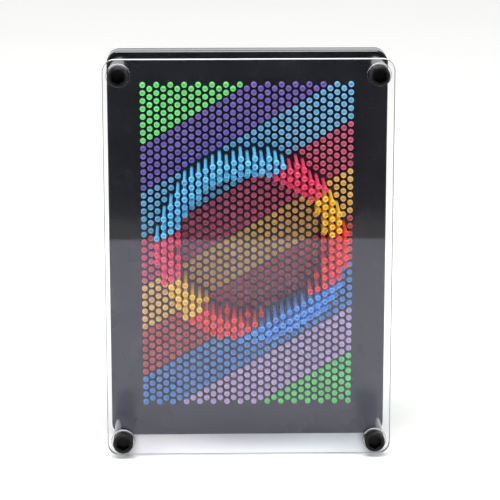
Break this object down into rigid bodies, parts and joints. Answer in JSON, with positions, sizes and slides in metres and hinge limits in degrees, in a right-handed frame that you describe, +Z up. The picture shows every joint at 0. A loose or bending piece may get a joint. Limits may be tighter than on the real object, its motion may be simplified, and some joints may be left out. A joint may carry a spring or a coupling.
{
  "type": "pin art impression toy",
  "caption": "Upright pin art toy: round-headed coloured pins slide in a perforated black body behind a clear cover on corner posts, holding a ring-shaped impression.",
  "frame": {"origin": "on the table, below the middle of the toy's width and depth as it stands upright", "axes": "+Z up along the long sides, -Y towards the viewer through the clear cover, +X to the right"},
  "size_m": [0.1498, 0.084, 0.2122],
  "materials": {
    "clear_plastic": "clear polished acrylic with bevelled edges",
    "black_plate": "glossy black moulded plastic",
    "black_frame": "glossy black moulded plastic",
    "black_post": "glossy black turned plastic",
    "black_screw": "black coated steel, satin",
    "pin_green": "moulded pastel green plastic",
    "pin_purple": "moulded purple plastic",
    "pin_sky": "moulded sky blue plastic",
    "pin_crimson": "moulded crimson pink plastic",
    "pin_amber": "moulded amber plastic",
    "pin_red": "moulded red plastic",
    "pin_blue": "moulded blue plastic",
    "pin_lilac": "moulded lilac plastic"
  },
  "bodies": {
    "frame": {"back_plate": "black_plate", "front_cover": "clear_plastic", "front_plate": "black_plate", "front_post_lower_left": "black_post", "front_post_lower_right": "black_post", "front_post_upper_left": "black_post", "front_post_upper_right": "black_post", "front_screws": "black_screw", "rear_nuts": "black_post", "spacer_frame": "black_frame"},
    "flat_pins_upper_green": {"pins_flat_upper_green": "pin_green"},
    "flat_pins_purple": {"pins_flat_purple": "pin_purple"},
    "flat_pins_sky": {"pins_flat_sky": "pin_sky"},
    "flat_pins_crimson": {"pins_flat_crimson": "pin_crimson"},
    "flat_pins_amber": {"pins_flat_amber": "pin_amber"},
    "flat_pins_red": {"pins_flat_red": "pin_red"},
    "flat_pins_blue": {"pins_flat_blue": "pin_blue"},
    "flat_pins_lilac": {"pins_flat_lilac": "pin_lilac"},
    "flat_pins_lower_green": {"pins_flat_lower_green": "pin_green"},
    "ring_pins_crest": {"pins_ring_crest_amber": "pin_amber", "pins_ring_crest_blue": "pin_blue", "pins_ring_crest_crimson": "pin_crimson", "pins_ring_crest_red": "pin_red", "pins_ring_crest_sky": "pin_sky"},
    "ring_pins_brow": {"pins_ring_brow_amber": "pin_amber", "pins_ring_brow_blue": "pin_blue", "pins_ring_brow_crimson": "pin_crimson", "pins_ring_brow_red": "pin_red", "pins_ring_brow_sky": "pin_sky"},
    "ring_pins_shoulder": {"pins_ring_shoulder_amber": "pin_amber", "pins_ring_shoulder_blue": "pin_blue", "pins_ring_shoulder_crimson": "pin_crimson", "pins_ring_shoulder_red": "pin_red", "pins_ring_shoulder_sky": "pin_sky"},
    "ring_pins_edge": {"pins_ring_edge_amber": "pin_amber", "pins_ring_edge_crimson": "pin_crimson", "pins_ring_edge_red": "pin_red", "pins_ring_edge_sky": "pin_sky"},
    "ring_pins_trail": {"pins_ring_trail_amber": "pin_amber", "pins_ring_trail_crimson": "pin_crimson", "pins_ring_trail_red": "pin_red", "pins_ring_trail_sky": "pin_sky"}
  },
  "joints": [
    {"name": "flat_upper_green_slide", "type": "slide", "parent": "frame", "child": "flat_pins_upper_green", "axis": [0, -1, 0], "range_m": [0, 0.0295]},
    {"name": "flat_purple_slide", "type": "slide", "parent": "frame", "child": "flat_pins_purple", "axis": [0, -1, 0], "range_m": [0, 0.0295]},
    {"name": "flat_sky_slide", "type": "slide", "parent": "frame", "child": "flat_pins_sky", "axis": [0, -1, 0], "range_m": [0, 0.0295]},
    {"name": "flat_crimson_slide", "type": "slide", "parent": "frame", "child": "flat_pins_crimson", "axis": [0, -1, 0], "range_m": [0, 0.0295]},
    {"name": "flat_amber_slide", "type": "slide", "parent": "frame", "child": "flat_pins_amber", "axis": [0, -1, 0], "range_m": [0, 0.0295]},
    {"name": "flat_red_slide", "type": "slide", "parent": "frame", "child": "flat_pins_red", "axis": [0, -1, 0], "range_m": [0, 0.0295]},
    {"name": "flat_blue_slide", "type": "slide", "parent": "frame", "child": "flat_pins_blue", "axis": [0, -1, 0], "range_m": [0, 0.0295]},
    {"name": "flat_lilac_slide", "type": "slide", "parent": "frame", "child": "flat_pins_lilac", "axis": [0, -1, 0], "range_m": [0, 0.0295]},
    {"name": "flat_lower_green_slide", "type": "slide", "parent": "frame", "child": "flat_pins_lower_green", "axis": [0, -1, 0], "range_m": [0, 0.0295]},
    {"name": "ring_crest_slide", "type": "slide", "parent": "frame", "child": "ring_pins_crest", "axis": [0, -1, 0], "range_m": [-0.02865, 0.00015]},
    {"name": "ring_brow_slide", "type": "slide", "parent": "frame", "child": "ring_pins_brow", "axis": [0, -1, 0], "range_m": [-0.02765, 0.00115]},
    {"name": "ring_shoulder_slide", "type": "slide", "parent": "frame", "child": "ring_pins_shoulder", "axis": [0, -1, 0], "range_m": [-0.02645, 0.00235]},
    {"name": "ring_edge_slide", "type": "slide", "parent": "frame", "child": "ring_pins_edge", "axis": [0, -1, 0], "range_m": [-0.02485, 0.00395]},
    {"name": "ring_trail_slide", "type": "slide", "parent": "frame", "child": "ring_pins_trail", "axis": [0, -1, 0], "range_m": [-0.01465, 0.01415]}
  ]
}
